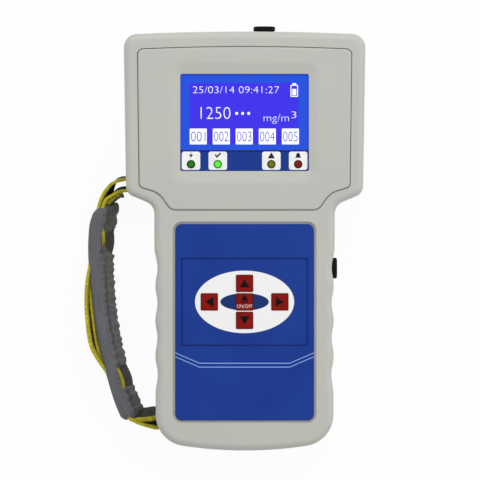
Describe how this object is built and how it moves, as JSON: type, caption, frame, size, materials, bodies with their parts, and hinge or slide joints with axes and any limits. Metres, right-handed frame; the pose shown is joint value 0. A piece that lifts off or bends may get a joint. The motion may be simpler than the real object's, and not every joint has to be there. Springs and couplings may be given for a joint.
{
  "type": "handheld airborne particle counter",
  "caption": "Handheld instrument with a wide sensing head, inset colour display, scalloped grip, membrane keypad and a padded side hand strap.",
  "frame": {"origin": "middle of the case back, halfway along its length, on the face it rests on", "axes": "+X to the right of the keypad, +Y towards the air inlet, +Z from the back to the display"},
  "size_m": [0.1599, 0.2419, 0.0506],
  "materials": {
    "case": "fine matt moulded plastic",
    "panel": "fine matt moulded plastic",
    "overlay": "printed polyester film",
    "circuit": "plain film",
    "key": "printed polyester film",
    "display": "lit liquid crystal glass",
    "active": "lit liquid crystal glass",
    "strip": "printed film",
    "lamp_green_dark": "clear lamp lens",
    "lamp_green": "clear lamp lens",
    "lamp_amber": "clear lamp lens",
    "lamp_red": "clear lamp lens",
    "board": "circuit board",
    "metal_frame": "pressed steel",
    "screw": "zinc plated",
    "black_plastic": "matt black",
    "black_rubber": "matt rubber",
    "hose": "silicone",
    "seal": "silicone cord",
    "battery": "shrink sleeve",
    "aluminium": "machined",
    "brass": "turned",
    "webbing": "woven tape with yellow edges",
    "sleeve": "padded woven cover"
  },
  "bodies": {
    "case_body": {"front_shell": "case", "back_shell": "case", "case_seal": "seal", "case_screws": "screw", "battery_door": "case", "door_screws": "screw", "battery_pack": "battery", "display_bezel": "panel", "lcd_module": "metal_frame", "lcd_glass": "display", "lcd_active_area": "active", "indicator_strip": "strip", "lamp_holder": "black_plastic", "lamp_charging": "lamp_green_dark", "lamp_normal": "lamp_green", "lamp_fault": "lamp_amber", "lamp_alarm": "lamp_red", "main_board": "board", "board_screws": "screw", "buzzer": "black_plastic", "keypad_circuit": "circuit", "keypad_overlay": "overlay", "inlet_nozzle": "aluminium", "sampling_hose": "hose", "optical_chamber": "black_plastic", "laser_module": "brass", "photo_detector": "black_plastic", "fan_frame": "black_plastic", "charging_socket": "black_plastic", "strap_pin_upper": "screw", "strap_pin_lower": "screw", "strap_tape": "webbing", "strap_sleeve": "sleeve"},
    "key_up": {"key_up": "key"},
    "key_down": {"key_down": "key"},
    "key_left": {"key_left": "key"},
    "key_right": {"key_right": "key"},
    "key_power": {"key_power": "key"},
    "inlet_cap": {"inlet_cap": "black_rubber"},
    "charging_plug": {"charging_plug": "black_rubber"},
    "fan_rotor": {"fan_rotor": "black_plastic"}
  },
  "joints": [
    {"name": "key_up_press", "type": "slide", "parent": "case_body", "child": "key_up", "axis": [0, 0, -1], "range_m": [0, 0.0005], "stiffness_N_per_m": 1500},
    {"name": "key_down_press", "type": "slide", "parent": "case_body", "child": "key_down", "axis": [0, 0, -1], "range_m": [0, 0.0005], "stiffness_N_per_m": 1500},
    {"name": "key_left_press", "type": "slide", "parent": "case_body", "child": "key_left", "axis": [0, 0, -1], "range_m": [0, 0.0005], "stiffness_N_per_m": 1500},
    {"name": "key_right_press", "type": "slide", "parent": "case_body", "child": "key_right", "axis": [0, 0, -1], "range_m": [0, 0.0005], "stiffness_N_per_m": 1500},
    {"name": "key_power_press", "type": "slide", "parent": "case_body", "child": "key_power", "axis": [0, 0, -1], "range_m": [0, 0.0005], "stiffness_N_per_m": 1500},
    {"name": "inlet_cap_pull", "type": "slide", "parent": "case_body", "child": "inlet_cap", "axis": [0, 1, 0], "range_m": [0, 0.014]},
    {"name": "charging_plug_pull", "type": "slide", "parent": "case_body", "child": "charging_plug", "axis": [1, 0, 0], "range_m": [0, 0.014]},
    {"name": "fan_spin", "type": "hinge", "parent": "case_body", "child": "fan_rotor", "pos_m": [0.0113, 0.055, 0.018], "axis": [0, 1, 0], "continuous": true}
  ]
}
